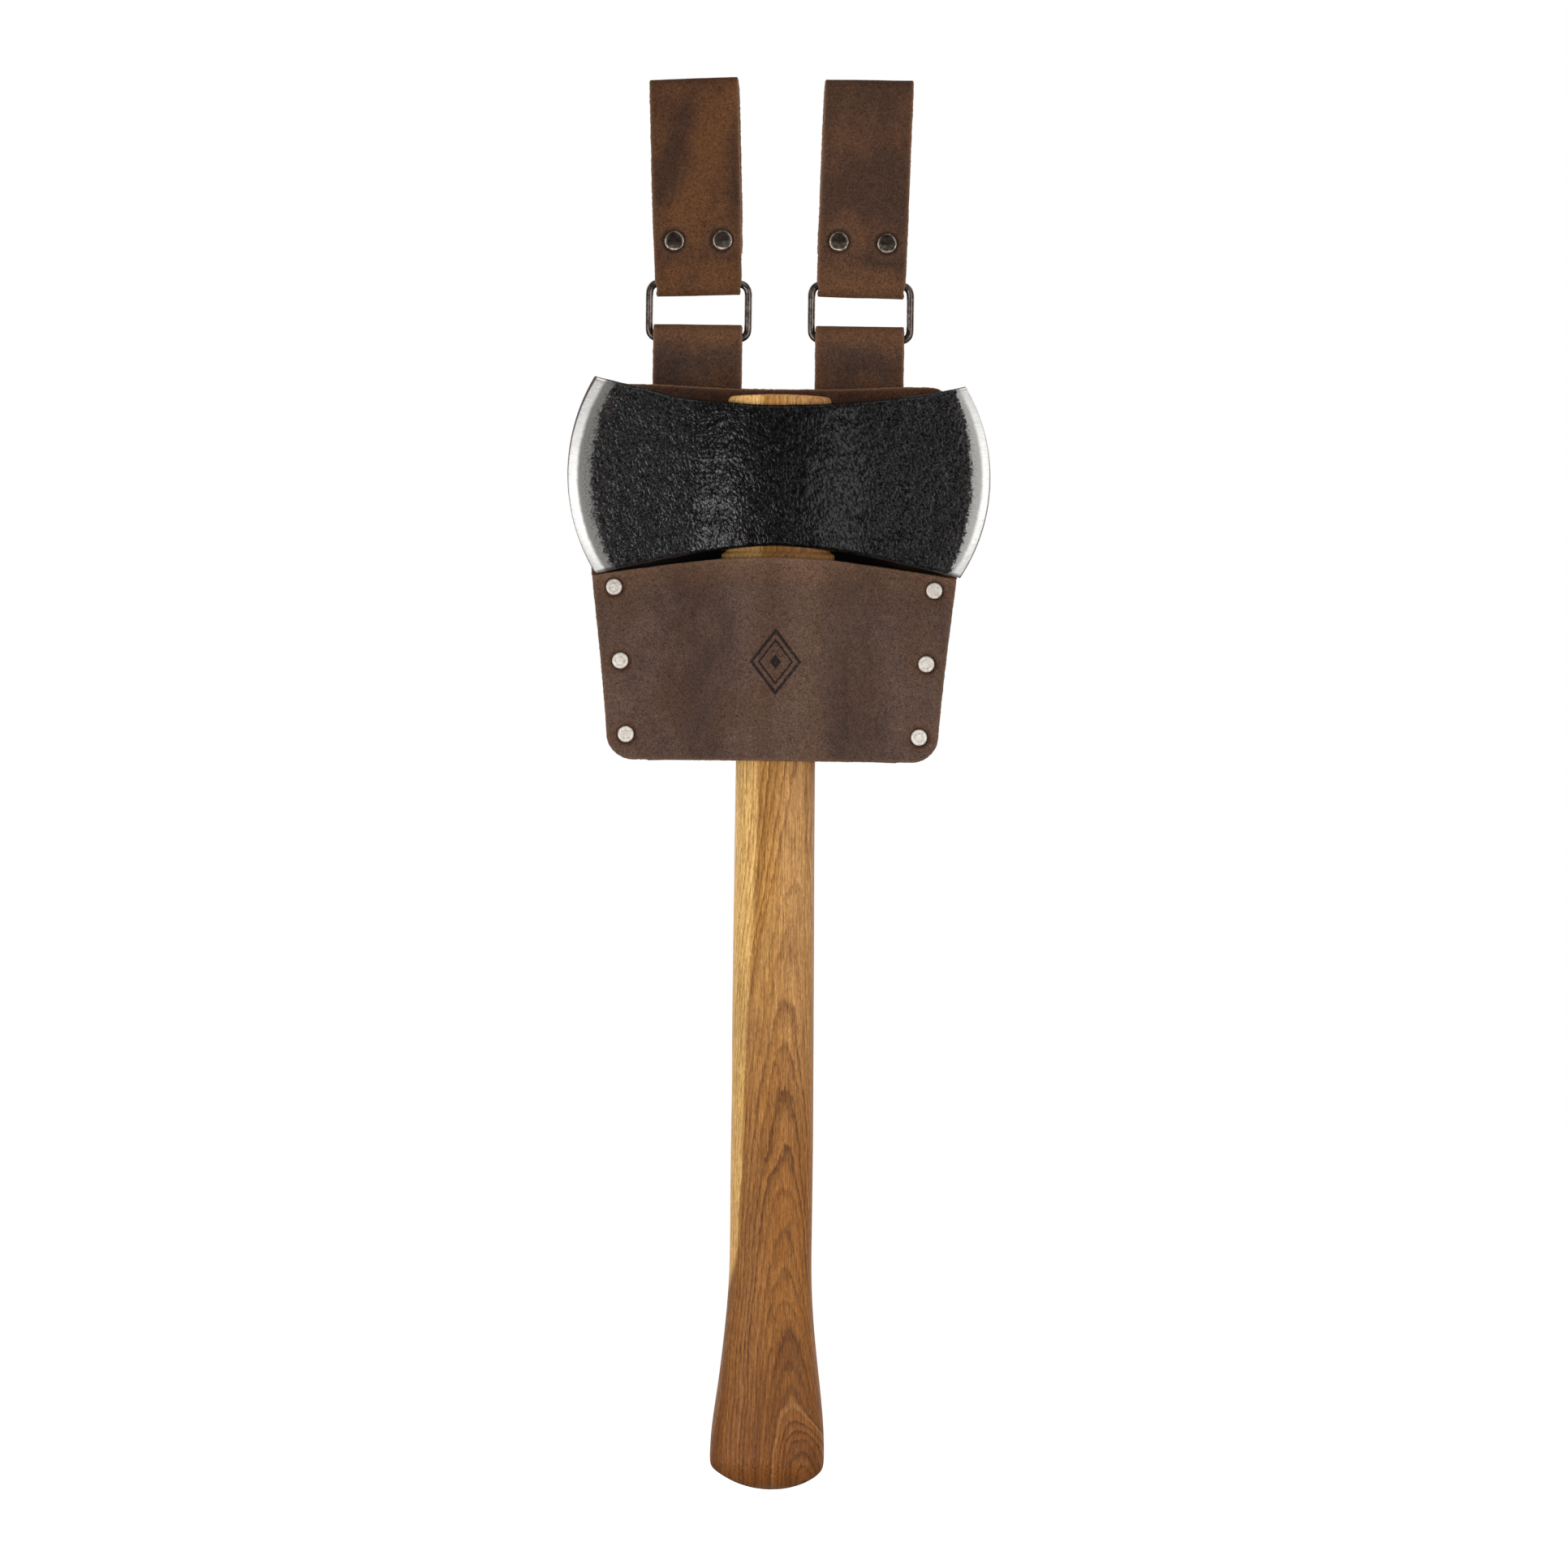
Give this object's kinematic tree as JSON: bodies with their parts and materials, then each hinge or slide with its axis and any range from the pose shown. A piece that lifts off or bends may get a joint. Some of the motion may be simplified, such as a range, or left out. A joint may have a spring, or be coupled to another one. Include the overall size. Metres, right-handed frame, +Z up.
{
  "type": "hatchet",
  "caption": "Double-bit hatchet with a forged head and straight wooden haft, seated in a riveted leather pocket that hangs from two belt loops on wire rings.",
  "frame": {"origin": "middle of the belt line, halfway between the two belt loops and at the middle of their openings", "axes": "+Z up as the holster hangs from the belt, +X along the belt to the right seen from the front, +Y towards the wearer"},
  "size_m": [0.1824, 0.0475, 0.6088],
  "materials": {
    "forged_steel": "black forge scale with small hammered bumps, bits ground bright",
    "haft_wood": "oiled straight-grained hardwood",
    "wedge_wood": "bare wood",
    "wedge_steel": "plain steel",
    "pocket_leather": "brown pull-up leather, matt and waxy",
    "strap_leather": "brown pull-up leather, matt and waxy",
    "worn_nickel": "worn nickel plate",
    "antique_nickel": "antique nickel plate"
  },
  "bodies": {
    "holster": {"back_panel": "pocket_leather", "front_panel": "pocket_leather", "pocket_rivet_posts": "worn_nickel", "pocket_rivet_caps": "worn_nickel", "left_hanger_tab": "strap_leather", "right_hanger_tab": "strap_leather", "hanger_rivet_posts": "antique_nickel", "hanger_rivet_caps": "antique_nickel"},
    "hatchet": {"axe_head": "forged_steel", "handle": "haft_wood", "wooden_wedge": "wedge_wood", "steel_wedge": "wedge_steel"},
    "left_ring": {"left_ring": "antique_nickel"},
    "right_ring": {"right_ring": "antique_nickel"},
    "left_belt_loop": {"left_belt_loop": "strap_leather", "left_loop_rivet_posts": "antique_nickel", "left_loop_rivet_caps": "antique_nickel"},
    "right_belt_loop": {"right_belt_loop": "strap_leather", "right_loop_rivet_posts": "antique_nickel", "right_loop_rivet_caps": "antique_nickel"}
  },
  "joints": [
    {"name": "hatchet_draw", "type": "slide", "parent": "holster", "child": "hatchet", "axis": [0, 0, 1], "range_m": [0, 0.41]},
    {"name": "left_ring_swing", "type": "hinge", "parent": "holster", "child": "left_ring", "pos_m": [-0.035, -0.0013, -0.0832], "axis": [-1, 0, 0], "range_deg": [-45, 90]},
    {"name": "left_loop_swing", "type": "hinge", "parent": "left_ring", "child": "left_belt_loop", "pos_m": [-0.035, -0.0013, -0.0594], "axis": [-1, 0, 0], "range_deg": [-90, 90]},
    {"name": "right_ring_swing", "type": "hinge", "parent": "holster", "child": "right_ring", "pos_m": [0.035, -0.0013, -0.0832], "axis": [-1, 0, 0], "range_deg": [-45, 90]},
    {"name": "right_loop_swing", "type": "hinge", "parent": "right_ring", "child": "right_belt_loop", "pos_m": [0.035, -0.0013, -0.0594], "axis": [-1, 0, 0], "range_deg": [-90, 90]}
  ]
}
